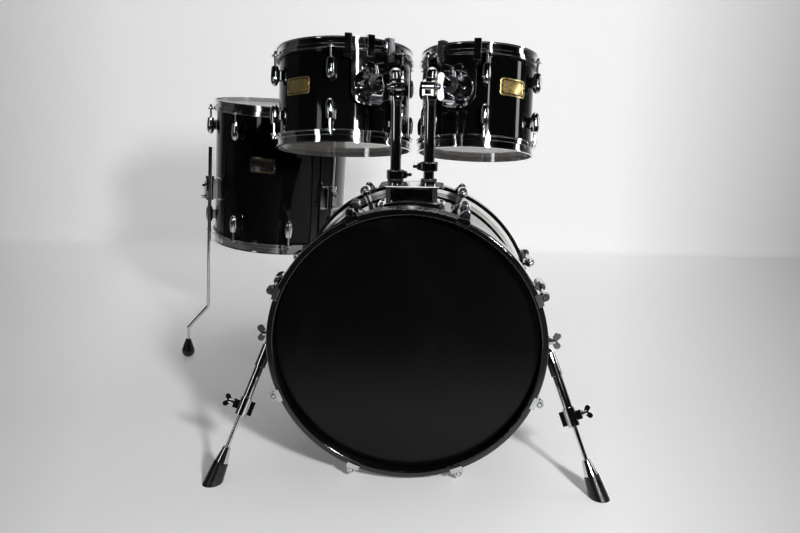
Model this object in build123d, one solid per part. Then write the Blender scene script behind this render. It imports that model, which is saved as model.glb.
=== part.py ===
from build123d import *
from dataclasses import dataclass
from math import asin, atan2, cos, degrees, hypot, radians, sin, tan
import os

# An acoustic drum kit of four drums: a 20 inch bass drum on two spurs, a 12 and a 10 inch tom
# carried on its tom holder, and a 14 inch floor tom on three legs.
# Millimetres, +Z up, +Y towards the player, +X to the right of someone who faces the kit.
# The origin is on the floor under the rear edge of the batter hoop, where a pedal clamps.

# ---------------------------------------------------------------- sizes
# fits and gaps
fit = 0.05              # radial clearance of a sliding or turning fit
seat_gap = 0.15         # clearance under a foot that seats on a round shell
side_gap = 0.3          # clearance beside a part that turns or folds
thread_gap = 0.3        # radial clearance of a tension rod in its lug

# bass drum
bass_radius = 254.0
bass_depth = 355.6
bass_wall = 9.0
bass_lean = 1.0         # the spurs lift the front hoop, in degrees
bass_hoop_gap = 3.0
bass_hoop_thickness = 13.0
bass_hoop_overhang = 24.0
bass_flesh_top = 14.0
bass_flesh_height = 5.0
bass_flesh_width = 7.5
bass_lug_count = 8
bass_lug_length = 55.0
bass_lug_radius = 11.0
bass_lug_drop = 52.0
bass_rod_radius = 3.0
bass_rod_gap = 10.0     # hoop's outer face to the tension rod
claw_width = 25.0
claw_steel = 3.0
claw_lip = 7.0
claw_length = 25.0
claw_cup_radius = 8.0
claw_cup_wall = 2.4
claw_cup_height = 11.0
claw_plate = 4.0
claw_seat_drop = 16.0   # front of the hoop to the claw's ear
bass_hoop_round = 3.0
rod_flange_radius = 5.0

# toms and floor tom
left_tom_radius = 152.4
left_tom_depth = 203.2
right_tom_radius = 127.0
right_tom_depth = 203.2
floor_tom_radius = 177.8
floor_tom_depth = 355.6
tom_wall = 7.5
edge_land = 2.0         # flat top of a bearing edge
edge_drop = 5.5         # height of the bevel inside it
film = 0.5
collar_gap = 0.4
flesh_top = 6.5
flesh_height = 6.5
flesh_width = 5.1
hoop_steel = 2.3
hoop_gap = 1.8
hoop_rise = 12.0
hoop_lip = 3.4
hoop_flange = 2.7
hoop_drop = 15.0
rod_radius = 2.8
rod_reach = 25.0        # thread inside the lug
washer_radius = 6.5
washer_thickness = 1.2
rod_collar = 2.0
rod_head = 6.4
rod_head_height = 7.0
ear_radius = 8.5
lug_drop = 37.0
lug_length = 44.0
lug_mouth = 7.5
lug_radius = 9.8
lug_foot_width = 9.0

# tom holder on the bass drum
holder_offset = 12.0    # forward of the middle of the shell
post_spacing = 68.0
flange_width = 138.0
flange_length = 84.0
flange_thickness = 5.85
flange_bolts = ((60.0, 22.0), (42.0, 36.0))     # across and along the shell
holder_width = 105.0
holder_length = 62.0
holder_height = 31.5
top_plate_width = 132.0
top_plate_length = 78.0
top_plate_thickness = 4.5
boss_radius = 17.0
boss_height = 8.0
bushing_wall = 2.85
bushing_collar = 3.0
bolt_radius = 2.5
bolt_head_radius = 4.5
bolt_head_height = 2.6
holder_screw_height = 18.0

# posts and tilters
tube_radius = 11.1
tube_wall = 2.1
post_below = 95.0       # tube inside the bass drum
pivot_height = 220.8    # pivot over the holder, less the arm's rise
pivot_drop = 26.0       # pivot to the end of the post's tube
neck = 26.0             # pivot to the arm's axis
cheek_radius = 14.0
cheek_thickness = 6.0
knuckle_thickness = 12.0
tilter_bolt = 4.0
lock_height = 17.0
lock_radius = 18.5
right_lock_lift = 17.0
left_heading = 27.05
left_tilt = 10.4
left_roll = 5.16
left_reach = 305.15
left_rise = 9.0         # arm's axis over the middle of the tom
right_heading = -21.7
right_tilt = 12.46
right_roll = -3.3
right_reach = 281.93
right_rise = 11.0

# tom mounts
apron_gap = 12.0        # shell to the suspended apron
apron_steel = 2.5
apron_angle = 20.6      # half of the bar that carries the clamps
apron_bar = 17.0        # height of that bar
apron_margin = 4.0      # apron's edge outside the base
apron_drop = 18.0
apron_corner = 34.0
apron_round = 3.5
clamp_angle = 17.3
clamp_width = 16.0
clamp_steel = 4.0
clamp_gap = 0.3
mount_base_radius = 38.0
mount_base_height = 4.0
barrel_radius = 19.0
barrel_length = 35.5
arm_slack = 8.0         # arm's end to the base's face
knob_offset = 24.0      # base's face to the knob

# bass drum spurs
spur_inset = 49.0       # front edge of the shell to the pivot
spur_splay = 20.8
spur_rake = 21.8
spur_plate_width = 50.0
spur_plate_length = 56.0
spur_plate_height = 6.0
spur_boss_radius = 17.0
spur_boss_height = 4.0
spur_knuckle_radius = 15.0
spur_knuckle_width = 14.0
spur_sleeve_end = 72.0
spur_tube_end = 150.0
spur_tube_radius = 9.0
spur_tube_wall = 1.5
spur_clamp_start = 137.0
spur_clamp_length = 37.0
spur_rod_radius = 4.4
spur_rod_start = 85.0
spur_cone_length = 31.0
spur_foot_length = 43.0
spur_foot_radius = 19.5

# floor tom and its legs
floor_tom_gap = 20.3    # between the shells of the floor tom and the left tom
floor_tom_bearing = 125.47      # from the left tom, in degrees
floor_tom_drop = 30.9   # its batter head under the middle of the left tom
floor_tom_lean = 3.8    # to the right, in degrees
leg_radius = 4.75
leg_offset = 27.0       # shell to the leg's axis
leg_above = 70.0
leg_high_bend = 137.2   # upper bend over the floor
leg_bend_height = 67.0
leg_bend_radius = 11.0
leg_kick = 54.0
bracket_top = 6.0
bracket_height = 66.0
leg_foot_radius = 17.5
leg_foot_height = 36.0
leg_foot_neck = 6.5

# ---------------------------------------------------------------- helpers


def at(angle, radius, height=0.0):
    """Return the place at an angle and radius about Z, whose x axis points outward."""
    return Rot(0, 0, angle) * Pos(radius, 0, height)


def turned(*corners):
    """Return the solid of revolution about Z of (radius, height) corners."""
    return revolve(Plane.XZ * make_face(Polyline(*corners, close=True)), Axis.Z)


def rod(radius, low, high):
    """Return a round bar along Z."""
    return Pos(0, 0, low) * extrude(Circle(radius), high - low)


def tube(outer, inner, low, high):
    """Return a round tube along Z."""
    return Pos(0, 0, low) * extrude(Circle(outer) - Circle(inner), high - low)


def block(width, length, low, high):
    """Return a box centred on Z."""
    return Pos(0, 0, low) * extrude(Rectangle(width, length), high - low)


def wing(hub, span, rise, thickness, lobe_share=0.2):
    """Return a wing head that stands on z = 0, with its wings across X."""
    lobe = lobe_share * span
    root = Pos(0, hub) * Circle(hub * 0.8)
    blades = Sketch()
    for side in (-1, 1):
        tip = Pos(side * (span / 2 - lobe), rise - lobe) * Circle(lobe)
        blades += make_hull(tip.edges() + root.edges())
    blade = extrude(Plane.XZ * blades, thickness / 2, both=True)
    return rod(hub, 0, 0.45 * rise) + blade


def both_ends(solids):
    """Return the solids of a drum's upper end with their images at the lower end."""
    return solids + [mirror(solid, about=Plane.XY) for solid in solids]


def write(name, place, solids):
    """Write one sub-part, moved from its own frame to the kit's."""
    moved = [place * solid for solid in solids]
    export_step(Compound(label=name, children=moved), f"parts/{name}.step")


# ---------------------------------------------------------------- frames

hoop_radius = bass_radius + bass_hoop_gap + bass_hoop_thickness
front_tilt = Vector(0, -cos(radians(bass_lean)), sin(radians(bass_lean)))
rear_edge = Vector(0, hoop_radius * sin(radians(bass_lean)), hoop_radius * cos(radians(bass_lean)))
bass_middle = rear_edge + front_tilt * (bass_hoop_overhang + bass_depth / 2)
bass_frame = Plane(origin=bass_middle, x_dir=(1, 0, 0), z_dir=front_tilt).location
holder_frame = bass_frame * Pos(0, bass_radius, holder_offset) * Rot(-90, 0, 0)


@dataclass(frozen=True)
class Drum:
    """A tom or floor tom: its sizes, its place and the angles of its lugs."""

    name: str
    radius: float
    depth: float
    place: Location
    lug_angles: tuple
    clamp_angles: tuple = ()

    @property
    def half(self):
        """Distance from the middle of the shell to its bearing edge."""
        return self.depth / 2


@dataclass(frozen=True)
class Arm:
    """A post with its tilter arm: the angles and reach of the arm, its rise and its lock's lift."""

    name: str
    side: int
    heading: float
    tilt: float
    roll: float
    reach: float
    rise: float
    radius: float
    lock_lift: float

    @property
    def post(self):
        """Frame of the post: on the shell's top line, Z up the tube."""
        return holder_frame * Pos(self.side * post_spacing / 2, 0, 0)

    @property
    def pivot(self):
        """Height of the tilter's pivot over the holder's foot."""
        return pivot_height + self.rise

    @property
    def head(self):
        """Frame of the post's head, at the tilter's pivot with X along it."""
        return self.post * Pos(0, 0, self.pivot) * Rot(0, 0, self.heading)

    @property
    def arm(self):
        """Frame of the arm, at the pivot with Y along the arm."""
        return self.head * Rot(-self.tilt, 0, 0)

    @property
    def tom(self):
        """Frame of the tom, in the middle of its shell."""
        return self.arm * Pos(0, self.reach, neck) * Rot(0, self.roll, 0) * Pos(0, 0, -self.rise)


left_arm = Arm(
    "left", -1, left_heading, left_tilt, left_roll, left_reach, left_rise, left_tom_radius, 0.0
)
right_arm = Arm(
    "right", 1, right_heading, right_tilt, right_roll, right_reach, right_rise, right_tom_radius,
    right_lock_lift,
)
mount_angle = -90.0
left_tom = Drum(
    "left_tom", left_tom_radius, left_tom_depth, left_arm.tom,
    tuple(mount_angle - 30 + 60 * k for k in range(6)), (-clamp_angle, 0, clamp_angle),
)
right_tom = Drum(
    "right_tom", right_tom_radius, right_tom_depth, right_arm.tom,
    tuple(mount_angle - 34 + 60 * k for k in range(6)), (-clamp_angle, clamp_angle),
)
floor_axis = Vector(sin(radians(floor_tom_lean)), 0, cos(radians(floor_tom_lean)))
floor_spacing = left_tom_radius + floor_tom_radius + floor_tom_gap
floor_top = left_arm.tom.position + Vector(
    floor_spacing * cos(radians(floor_tom_bearing)), floor_spacing * sin(radians(floor_tom_bearing)),
    -floor_tom_drop,
)
floor_frame = Plane(
    origin=floor_top - floor_axis * (floor_tom_depth / 2), x_dir=(floor_axis.Z, 0, -floor_axis.X),
    z_dir=floor_axis,
).location
floor_tom = Drum(
    "floor_tom", floor_tom_radius, floor_tom_depth, floor_frame,
    tuple(mount_angle + 18.5 + 45 * k for k in range(8)),
)
leg_angles = (mount_angle - 54, mount_angle + 52, mount_angle + 176)
leg_turns = (-32.0, 0.0, 0.0)   # turn of each leg's kick away from straight out

# ---------------------------------------------------------------- shells, heads and hoops


def shell(radius, half, wall):
    """Return a drum shell with a bevelled bearing edge at each end."""
    inner = radius - wall
    land = radius - edge_land
    return turned(
        (inner, -half + edge_drop), (land, -half), (radius, -half),
        (radius, half), (land, half), (inner, half - edge_drop),
    )


def drum_head(radius, half, top, height, width):
    """Return a head: its film, its collar over the edge and its flesh hoop."""
    inner = radius + collar_gap
    low = half - top - height
    return turned(
        (0, half), (inner, half), (inner, low), (inner + width, low),
        (inner + width, half - top), (inner + film, half - top), (inner + film, half + film),
        (0, half + film),
    )


skirt = collar_gap + flesh_width + 0.5      # shell to the inside of a steel hoop's skirt
rod_offset = skirt + hoop_steel + washer_radius + 0.2
bass_rod_offset = bass_hoop_gap + bass_hoop_thickness + bass_rod_gap


def steel_hoop(drum):
    """Return a triple-flange steel hoop with an ear at each lug."""
    r, half = drum.radius, drum.half
    wall, side = r + hoop_gap, r + skirt
    shelf, low, high = half - flesh_top, half - hoop_drop, half + hoop_rise
    steel = hoop_steel
    ring = turned(
        (wall, shelf), (side, shelf), (side, low), (side + steel + hoop_flange, low),
        (side + steel + hoop_flange, low + steel), (side + steel, low + steel),
        (side + steel, shelf + steel), (wall + steel, shelf + steel),
        (wall + steel, high - steel), (wall + steel + hoop_lip, high - steel),
        (wall + steel + hoop_lip, high), (wall, high),
    )
    neck_length = rod_offset - skirt - hoop_steel / 2
    plate = Circle(ear_radius) + Pos(-neck_length / 2, 0) * Rectangle(neck_length, 2 * ear_radius)
    plate -= Circle(rod_radius + 0.5)
    ear = extrude(plate, steel)
    for angle in drum.lug_angles:
        ring += at(angle, r + rod_offset, low) * ear
    return ring


def tension_rod(radius, seat, end, head, collar):
    """Return a tension rod whose washer seats at z = seat and whose tip is at z = end."""
    top = seat + washer_thickness + rod_collar
    body = rod(radius, end, top) + rod(washer_radius, seat, seat + washer_thickness)
    body += rod(collar, seat, top)
    return body + block(head, head, top, top + rod_head_height)


def lug(radius, mouth, length, offset, bore, depth, foot_width):
    """Return a lug on the rod's axis, its mouth at z = 0, with its foot out to the shell."""
    outline = Spline(
        (mouth, 0), (radius, -0.42 * length), (0.78 * radius, -0.86 * length), (0, -length),
        tangents=[(0.25, -1), (-1, 0)],
    )
    half_section = make_face(outline + Line((0, -length), (0, 0)) + Line((0, 0), (mouth, 0)))
    body = revolve(Plane.XZ * half_section, Axis.Z)
    foot_length = 0.62 * length
    reach = offset - seat_gap
    foot = extrude(RectangleRounded(foot_length, foot_width, foot_width / 2 - 0.1), reach)
    body += Pos(0, 0, -0.45 * length) * Rot(0, -90, 0) * foot
    return body - rod(bore, -depth, 1)


def tom_lug():
    """Return one lug of a tom in its own frame."""
    bore = rod_radius + thread_gap
    return lug(lug_radius, lug_mouth, lug_length, rod_offset, bore, rod_reach + 5, lug_foot_width)


def write_tom(drum):
    """Write the shell, heads, hoops, lugs and tension rods of a tom."""
    head = drum_head(drum.radius, drum.half, flesh_top, flesh_height, flesh_width)
    ring = steel_hoop(drum)
    one_lug = tom_lug()
    seat = drum.half - hoop_drop + hoop_steel
    end = drum.half - lug_drop - rod_reach
    one_rod = tension_rod(rod_radius, seat, end, rod_head, rod_flange_radius)
    reach = drum.radius + rod_offset
    lugs = [at(a, reach, drum.half - lug_drop) * one_lug for a in drum.lug_angles]
    rods = [at(a, reach) * one_rod for a in drum.lug_angles]
    write(f"{drum.name}_shell", drum.place, [shell(drum.radius, drum.half, tom_wall)])
    write(f"{drum.name}_batter_head", drum.place, [head])
    write(f"{drum.name}_resonant_head", drum.place, [mirror(head, about=Plane.XY)])
    write(f"{drum.name}_hoops", drum.place, both_ends([ring]))
    write(f"{drum.name}_lugs", drum.place, both_ends(lugs))
    write(f"{drum.name}_tension_rods", drum.place, both_ends(rods))


# ---------------------------------------------------------------- bass drum

bass_half = bass_depth / 2
bass_lug_angles = [22.5 + 360 / bass_lug_count * k for k in range(bass_lug_count)]
bass_front = bass_half + bass_hoop_overhang
bushing_bore = tube_radius + fit
bushing_radius = bushing_bore + bushing_wall
holder_bore = bushing_radius + fit
plate_top = holder_height + top_plate_thickness
boss_top = plate_top + boss_height
post_sides = (-post_spacing / 2, post_spacing / 2)


def flange_bolt_places():
    """Return the places of the holder's bolts in its own frame, Z out of the shell."""
    spots = []
    for x, y in flange_bolts:
        for across in (-1, 1):
            for along in (-1, 1):
                turn = degrees(asin(x / bass_radius))
                spots.append(Pos(0, 0, -bass_radius) * Rot(0, across * turn, 0) * Pos(0, along * y, 0))
    return spots


def bolt(grip, nut_depth):
    """Return a domed bolt whose head seats at z = grip, with its shank down to z = -nut_depth."""
    head = Pos(0, 0, grip) * Cone(bolt_head_radius, bolt_head_radius * 0.55, bolt_head_height,
                                  align=(Align.CENTER, Align.CENTER, Align.MIN))
    return rod(bolt_radius, -nut_depth, grip) + head


def bass_shell():
    """Return the bass shell with the holes for the posts and the bolts."""
    body = shell(bass_radius, bass_half, bass_wall)
    to_bass = bass_frame.inverse() * holder_frame
    for x in post_sides:
        body -= to_bass * Pos(x, 0, 0) * rod(holder_bore + 1, -40, 20)
    for spot in flange_bolt_places():
        body -= to_bass * spot * rod(bolt_radius + fit, bass_radius - 20, bass_radius + 5)
    for angle, tip in spur_bolt_spots():
        body -= Rot(0, 0, angle) * tip * rod(bolt_radius + fit, -20, 5)
    return body


def bass_hoop():
    """Return the front wooden hoop, rounded at its outer edges."""
    inner = bass_radius + bass_hoop_gap
    low = bass_half - bass_flesh_top
    ring = tube(inner + bass_hoop_thickness, inner, low, bass_front)
    return fillet(ring.faces().sort_by(Axis.Z)[-1].edges(), bass_hoop_round)


def claw():
    """Return a claw hook in the rod's frame: z along the bass drum, x outward."""
    gap = 0.1
    face = -bass_rod_gap + gap           # outer face of the hoop
    lip = block(claw_steel + claw_lip + gap, claw_width, bass_front, bass_front + claw_steel)
    lip = Pos(face + claw_steel - (claw_steel + claw_lip + gap) / 2, 0, 0) * lip
    wall = block(claw_steel, claw_width, bass_front - claw_length, bass_front + claw_steel)
    wall = Pos(face + claw_steel / 2, 0, 0) * wall
    wall -= at(0, -bass_radius - bass_rod_offset) * rod(hoop_radius + gap, 0, bass_front)
    seat = bass_front - claw_seat_drop
    top = seat + claw_cup_height
    corners = [(face + claw_steel / 2, claw_width / 2), (0, ear_radius), (0, -ear_radius),
               (face + claw_steel / 2, -claw_width / 2)]
    ear = make_face(Polyline(*corners, close=True)) + Circle(ear_radius)
    body = lip + wall + Pos(0, 0, seat) * extrude(ear, claw_plate) + rod(claw_cup_radius, seat, top)
    body -= rod(bass_rod_radius + thread_gap, seat - 1, top)
    return body - rod(claw_cup_radius - claw_cup_wall, seat + claw_plate, top + 1)


def bass_rod():
    """Return a bass tension rod in the rod's frame."""
    seat = bass_front - claw_seat_drop + claw_plate
    end = bass_half - bass_lug_drop - rod_reach
    top = seat + rod_collar
    body = rod(bass_rod_radius, end, top) + rod(rod_flange_radius, seat, top)
    return body + block(rod_head, rod_head, top, top + rod_head_height)


def spur_bolt_spots():
    """Return (angle, place) of each spur plate's bolts, with Z out of the shell."""
    spots = []
    for angle in (0, 180):
        for along in (-1, 1):
            for across in (-1, 1):
                aside = across * (spur_plate_width / 2 - 7)
                place = Pos(bass_radius, aside, spur_z + along * (spur_plate_length / 2 - 7))
                spots.append((angle, place * Rot(0, 90, 0)))
    return spots


spur_z = bass_half - spur_inset
spur_face = spur_plate_height + spur_boss_height
spur_pivot_offset = spur_face + side_gap + spur_knuckle_width / 2


def spur_bracket():
    """Return the spur's bracket at angle 0: a curved plate and the pivot's boss."""
    plate = block(spur_plate_length, spur_plate_width, -6, spur_plate_height)
    plate = Rot(0, 90, 0) * plate
    plate = fillet(plate.edges().filter_by(Axis.X), 9)
    body = Pos(bass_radius, 0, spur_z) * plate
    body -= rod(bass_radius + seat_gap, 0, bass_half + 5)
    boss = Rot(0, 90, 0) * rod(spur_boss_radius, spur_plate_height - 1, spur_face)
    body += Pos(bass_radius, 0, spur_z) * boss
    body -= Pos(bass_radius, 0, spur_z) * Rot(0, 90, 0) * rod(tilter_bolt + fit, 2, spur_face + 1)
    for angle, place in spur_bolt_spots():
        if angle == 0:
            body -= place * rod(bolt_radius + fit, -10, spur_plate_height + 5)
    return body


def spur_pivot_screw():
    """Return the wing screw of a spur's pivot at angle 0."""
    seat = spur_face + 2 * side_gap + spur_knuckle_width
    screw = rod(tilter_bolt, 3, seat + 2) + rod(9, seat, seat + 5)
    screw += Pos(0, 0, seat + 4) * wing(6, 34, 20, 4)
    return Pos(bass_radius, 0, spur_z) * Rot(0, 90, 0) * Rot(0, 0, 90) * screw


def holder():
    """Return the tom holder: curved flange, box body, top plate and bosses."""
    centre = Pos(0, 0, -bass_radius) * Rot(90, 0, 0)
    outer = centre * rod(bass_radius + flange_thickness, -flange_length, flange_length)
    inner = centre * rod(bass_radius + seat_gap, -flange_length, flange_length)
    flange = extrude(RectangleRounded(flange_width, flange_length, 18), 60, both=True) & outer
    low = block(holder_width, holder_length, -12, holder_height)
    low = chamfer(low.edges().filter_by(Axis.Z), 10)
    plate = Pos(0, 0, holder_height) * extrude(
        RectangleRounded(top_plate_width, top_plate_length, 16), top_plate_thickness)
    plate = chamfer(plate.faces().sort_by(Axis.Z)[-1].edges(), 1.5)
    body = flange + low + plate
    for x in post_sides:
        body += Pos(x, 0, 0) * rod(boss_radius, holder_height, boss_top)
    body -= inner
    for x in post_sides:
        body -= Pos(x, 0, 0) * rod(holder_bore, -60, boss_top + 1)
    for spot in flange_bolt_places():
        body -= spot * rod(bolt_radius + fit, bass_radius - 20, bass_radius + 20)
        body -= spot * rod(bolt_head_radius + 1, bass_radius + flange_thickness, bass_radius + 12)
    for x in post_sides:
        screw_hole = Pos(x, holder_length / 2, holder_screw_height) * Rot(-90, 0, 0)
        body -= screw_hole * rod(tilter_bolt + fit, -25, 10)
    return body


def holder_screw():
    """Return a wing screw behind the holder, tip towards its post, standing on z = 0."""
    tip = -(holder_length / 2 - bushing_radius - 1)
    return rod(tilter_bolt, tip, 2) + rod(8, 0.1, 4) + Pos(0, 0, 3) * wing(6, 34, 22, 4)


def write_bass():
    """Write the bass drum with its holder, spur brackets and screws."""
    head = drum_head(bass_radius, bass_half, bass_flesh_top, bass_flesh_height, bass_flesh_width)
    one_lug = lug(bass_lug_radius, bass_lug_radius * 0.8, bass_lug_length, bass_rod_offset,
                  bass_rod_radius + thread_gap, rod_reach + 5, lug_foot_width + 3)
    reach = bass_radius + bass_rod_offset
    mouth = bass_half - bass_lug_drop
    one_claw, one_rod = claw(), bass_rod()
    write("bass_shell", bass_frame, [bass_shell()])
    write("bass_hoops", bass_frame, both_ends([bass_hoop()]))
    write("bass_front_head", bass_frame, [head])
    write("bass_batter_head", bass_frame, [mirror(head, about=Plane.XY)])
    write("bass_lugs", bass_frame, both_ends([at(a, reach, mouth) * one_lug for a in bass_lug_angles]))
    write("bass_claws", bass_frame, both_ends([at(a, reach) * one_claw for a in bass_lug_angles]))
    write("bass_tension_rods", bass_frame, both_ends([at(a, reach) * one_rod for a in bass_lug_angles]))
    write("tom_holder", holder_frame, [holder()])
    bracket = spur_bracket()
    write("spur_brackets", bass_frame, [bracket, mirror(bracket, about=Plane.YZ)])
    to_bass = bass_frame.inverse() * holder_frame
    screws = [to_bass * spot * Pos(0, 0, bass_radius) * bolt(flange_thickness, bass_wall)
              for spot in flange_bolt_places()]
    for x in post_sides:
        behind = to_bass * Pos(x, holder_length / 2, holder_screw_height) * Rot(-90, 0, 0)
        screws.append(behind * holder_screw())
    for angle, place in spur_bolt_spots():
        screws.append(Rot(0, 0, angle) * place * bolt(spur_plate_height, bass_wall))
    pivot = spur_pivot_screw()
    screws += [pivot, mirror(pivot, about=Plane.YZ)]
    write("bass_bracket_screws", bass_frame, screws)


# ---------------------------------------------------------------- spurs

pivot_x = bass_radius + spur_pivot_offset
spur_drop = (bass_frame * Pos(pivot_x, 0, spur_z)).position.Z
spur_slope = Vector(tan(radians(spur_splay)), -tan(radians(spur_rake)), -1)
spur_length = spur_drop * spur_slope.length
spur_foot_start = spur_length - spur_foot_length
spur_cone_start = spur_foot_start - spur_cone_length
spur_screw_at = spur_clamp_start + spur_clamp_length / 2


def spur_frame(side):
    """Return a spur's frame: origin at its pivot, Z down the leg and X outward."""
    origin = (bass_frame * Pos(side * pivot_x, 0, spur_z)).position
    down = Vector(side * spur_slope.X, spur_slope.Y, spur_slope.Z).normalized()
    return Plane(origin=origin, x_dir=(side * -down.Z, 0, down.X * side), z_dir=down).location


def write_spur(name, side):
    """Write one spur: its leg, its rod with the cone, its rubber foot and its wing screw."""
    frame = spur_frame(side)
    hinge = frame.inverse() * Pos(frame.position) * Rot(0, 90, 0)
    half = spur_knuckle_width / 2
    knuckle = hinge * rod(spur_knuckle_radius, -half, half)
    strap = block(spur_knuckle_width, 20, 0, 28)
    sleeve = rod(tube_radius, 26, spur_sleeve_end)
    shaft = rod(spur_tube_radius, spur_sleeve_end - 2, spur_tube_end)
    clamp_end = spur_clamp_start + spur_clamp_length
    clamp_body = rod(spur_tube_radius + 2.5, spur_clamp_start, clamp_end)
    ear = block(16, 11, spur_screw_at - 9, spur_screw_at + 9)
    fin = block(13, 5, spur_clamp_start + 4, clamp_end - 4)
    clamp_body += Pos(13, 0, 0) * ear + Pos(-14, 0, 0) * fin
    leg = strap + sleeve + shaft + clamp_body
    for low, high in ((half, 60), (-60, -half)):
        leg -= hinge * rod(spur_knuckle_radius + 4, low, high)
    leg += knuckle
    leg -= rod(spur_tube_radius - spur_tube_wall, 30, spur_tube_end - 1)
    leg -= rod(spur_rod_radius + fit, spur_tube_end - 5, clamp_end + 1)
    leg -= hinge * rod(tilter_bolt + fit, -half - 1, half + 1)
    leg -= Pos(0, 0, spur_screw_at) * Rot(0, 90, 0) * rod(3 + fit, 0, 30)
    write(f"{name}_spur_leg", frame, [leg])
    cone_top, cone_base = 8.0, 13.5
    cone = turned((0, spur_cone_start), (cone_top, spur_cone_start), (cone_base, spur_foot_start),
                  (0, spur_foot_start))
    stem = rod(spur_rod_radius, spur_rod_start, spur_foot_start + 12)
    write(f"{name}_spur_rod", frame, [stem + cone])
    foot = turned((0, spur_foot_start), (cone_base + 1, spur_foot_start),
                  (spur_foot_radius, spur_length + 14), (0, spur_length + 14))
    foot -= rod(spur_rod_radius, spur_foot_start - 1, spur_foot_start + 12)
    ground = frame.inverse() * Pos(side * pivot_x, 0, -50) * Box(500, 1500, 100)
    write(f"{name}_spur_foot", frame, [foot - ground])
    screw = rod(3, spur_rod_radius + 0.5, 22) + rod(6.5, 21.3, 25) + Pos(0, 0, 24) * wing(4.5, 26, 17, 3)
    screw = Pos(0, 0, spur_screw_at) * Rot(0, 90, 0) * screw
    write(f"{name}_spur_wing_screw", frame, [screw])


# ---------------------------------------------------------------- posts, tilters and tom mounts

cheek_inner = knuckle_thickness / 2 + side_gap
cheek_outer = cheek_inner + cheek_thickness
bushing_top = boss_top + bushing_collar


def post_solid(arm):
    """Return a post in its own frame: its tube with the forked head on top."""
    head_base = arm.pivot - pivot_drop
    body = tube(tube_radius, tube_radius - tube_wall, -post_below, head_base + 4)
    body += rod(15.0, head_base, head_base + 9)
    body += rod(tube_radius + 1, head_base - 8, head_base)
    body -= rod(tube_radius - tube_wall, -post_below - 1, head_base + 2)
    fork = block(2 * cheek_outer, 2 * cheek_radius - 2, -18, 0)
    for side in (-1, 1):
        cheek = rod(cheek_radius, cheek_inner, cheek_outer)
        fork += Rot(0, side * 90, 0) * cheek
    fork -= block(2 * cheek_inner, 80, -cheek_radius - 0.6, 40)
    fork -= Rot(0, 90, 0) * rod(tilter_bolt + fit, -40, 40)
    return body + Pos(0, 0, arm.pivot) * Rot(0, 0, arm.heading) * fork


def arm_solid(arm):
    """Return a tilter arm in its own frame: knuckle, neck, dome and tube."""
    half = knuckle_thickness / 2
    knuckle = Rot(0, 90, 0) * rod(cheek_radius - 1, -half, half)
    stem = block(knuckle_thickness, 22, 0, neck)
    dome = Pos(0, 0, neck) * Sphere(12.0)
    collar = Pos(0, 0, neck - 8) * rod(12.0, -2.5, 8)
    end = arm.reach - arm.radius - apron_gap - apron_steel - mount_base_height - arm_slack
    bar = Pos(0, 0, neck) * Rot(-90, 0, 0) * rod(tube_radius, 0, end)
    body = knuckle + stem + dome + collar + bar
    hollow = Pos(0, 0, neck) * Rot(-90, 0, 0) * rod(tube_radius - tube_wall, 30, end + 1)
    return body - hollow - Rot(0, 90, 0) * rod(tilter_bolt + fit, -30, 30)


def lock_solids(arm):
    """Return the memory lock ring and its key screw, screw along x towards the other post."""
    base = bushing_top + arm.lock_lift
    ring = tube(lock_radius, tube_radius + fit, base, base + lock_height)
    seat = lock_radius + 5
    lug_block = Pos(seat - 7, 0, 0) * block(14, 14, base + 1.5, base + lock_height - 1.5)
    lug_block -= rod(tube_radius + 2, base, base + lock_height)
    middle = Pos(0, 0, base + lock_height / 2) * Rot(0, 90, 0)
    ring += lug_block
    ring -= middle * rod(3 + fit, 0, 40)
    screw = rod(3, tube_radius + 0.3, seat + 1) + rod(5.5, seat + 0.1, seat + 3)
    screw += block(rod_head, rod_head, seat + 3, seat + 3 + rod_head)
    turn = Rot(0, 0, 0 if arm.side < 0 else 180)
    return turn * ring, turn * middle * screw


def apron_outline(half_bar, low, top):
    """Return an apron's outline: the bar for the clamps above and the tongue down to z = low."""
    tongue = 2 * (mount_base_radius + apron_margin)
    outline = Pos(0, top - apron_bar / 2) * Rectangle(2 * half_bar, apron_bar)
    outline += Pos(0, (top + low) / 2) * Rectangle(tongue, top - low)
    outline = fillet(outline.vertices().group_by(Axis.Y)[1], apron_round)
    return fillet(outline.vertices().group_by(Axis.Y)[0], apron_corner)


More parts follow.
